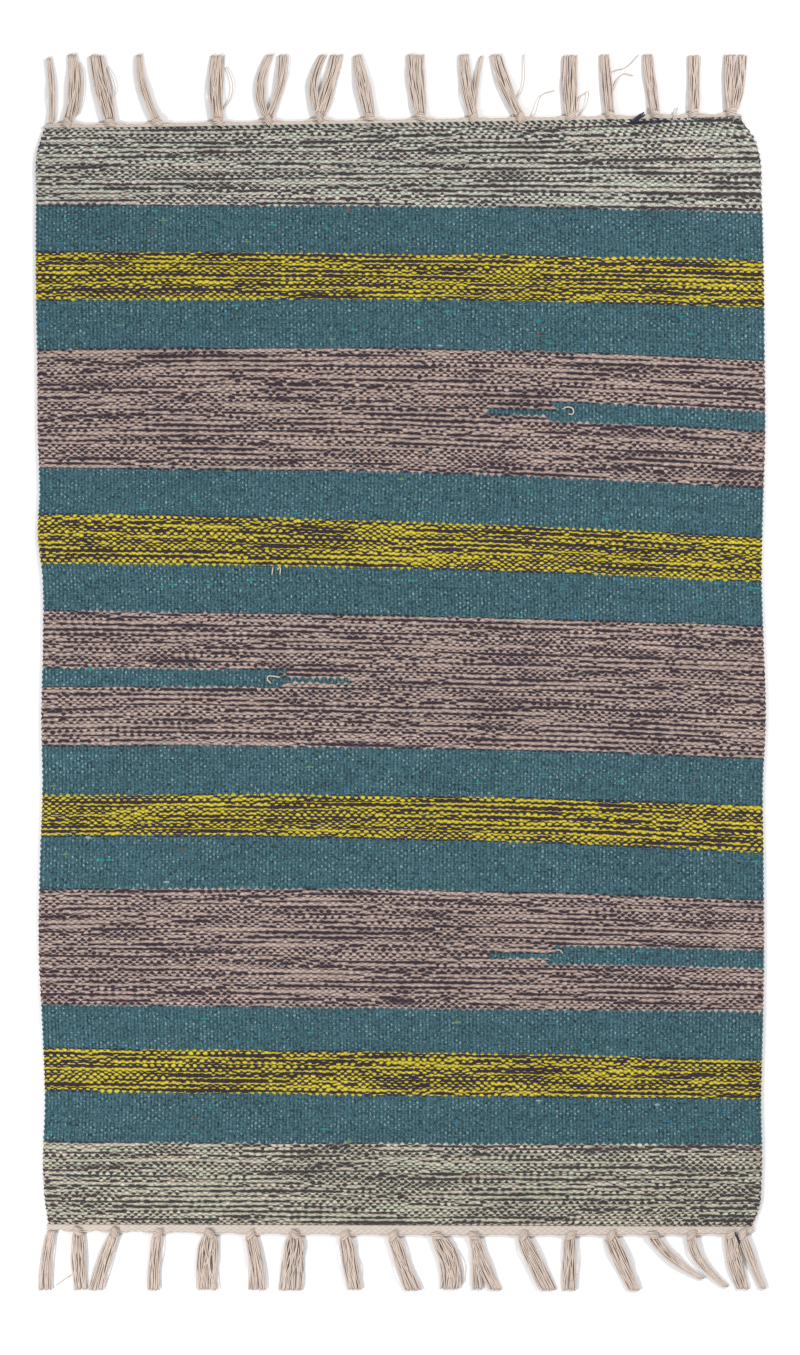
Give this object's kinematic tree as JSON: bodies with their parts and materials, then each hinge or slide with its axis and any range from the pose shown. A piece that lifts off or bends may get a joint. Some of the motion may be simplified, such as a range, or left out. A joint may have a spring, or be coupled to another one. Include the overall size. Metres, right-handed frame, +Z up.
{
  "type": "kilim rug",
  "caption": "Small flat-woven rug with mottled, teal and yellow cross stripes, plain headings and knotted warp tassels at both ends, lying flat on a floor.",
  "frame": {"origin": "on the floor, under the middle of the rug's outer box, tassels included", "axes": "+Z up out of the face of the rug, +Y along its length towards the end with the sloping edge, +X across it"},
  "size_m": [0.615, 1.04, 0.0065],
  "materials": {
    "striped_weft": "coarse weft-faced weave in mottled, teal and yellow stripes",
    "ecru_cotton": "undyed plied cotton yarn, matt"
  },
  "bodies": {
    "root": {"field": "striped_weft", "top_fringe": "ecru_cotton", "bottom_fringe": "ecru_cotton"}
  },
  "joints": []
}
